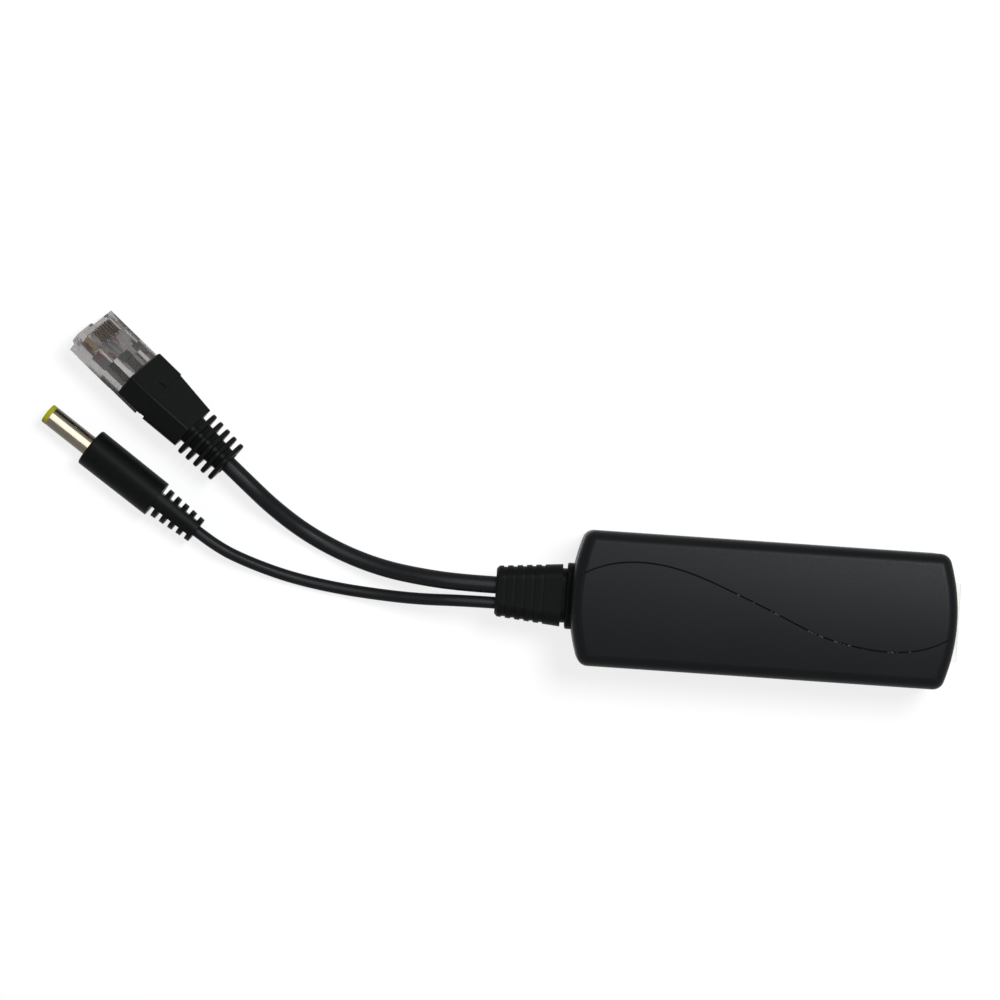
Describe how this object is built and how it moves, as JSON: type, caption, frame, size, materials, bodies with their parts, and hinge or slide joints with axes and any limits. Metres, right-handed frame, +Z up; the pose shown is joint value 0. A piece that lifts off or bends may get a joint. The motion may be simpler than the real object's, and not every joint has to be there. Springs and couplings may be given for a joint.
{
  "type": "poe splitter",
  "caption": "In-line PoE splitter: rounded housing with a network socket in one end, and at the other a grooved strain relief with a short network lead and a short DC power lead.",
  "frame": {"origin": "middle of the housing's flat underside", "axes": "+X along the housing towards the network socket, +Z up out of the lid with the engraved line"},
  "size_m": [0.2083, 0.0723, 0.023],
  "materials": {
    "housing": "satin moulded ABS, charcoal black",
    "socket": "off-white moulded thermoplastic",
    "gold_contact": "gold-plated phosphor bronze",
    "board": "glass-epoxy laminate with green solder mask",
    "moulded_chip": "moulded epoxy",
    "ferrite": "sintered ferrite, dark grey",
    "winding": "wound bobbin under yellow tape",
    "can": "drawn aluminium can",
    "core_insulation": "coloured insulation of the cores",
    "soft_moulding": "soft moulded PVC, satin black",
    "jacket": "smooth extruded PVC jacket, satin black",
    "clear_plastic": "clear polycarbonate",
    "nickel": "nickel-plated brass",
    "yellow_plastic": "yellow moulded insulator"
  },
  "bodies": {
    "root": {"top_shell": "housing", "bottom_shell": "housing", "network_socket": "socket", "socket_contacts": "gold_contact", "circuit_board": "board", "data_transformer": "moulded_chip", "power_transformer_core": "ferrite", "power_transformer_bobbin": "winding", "bridge_rectifiers": "moulded_chip", "input_capacitor": "can", "output_capacitor": "can", "filter_inductor": "ferrite", "controller_chip": "moulded_chip", "output_diode": "moulded_chip", "optocoupler": "moulded_chip", "network_leads": "core_insulation", "dc_leads": "core_insulation", "strain_relief": "soft_moulding", "network_cable": "jacket", "dc_cable": "jacket", "plug_boot": "soft_moulding", "plug_body": "clear_plastic", "plug_contacts": "gold_contact", "plug_wires": "core_insulation", "network_cable_end": "jacket", "dc_plug_grip": "soft_moulding", "dc_plug_barrel": "nickel", "dc_plug_tip": "yellow_plastic", "dc_plug_inner_sleeve": "nickel"}
  },
  "joints": []
}
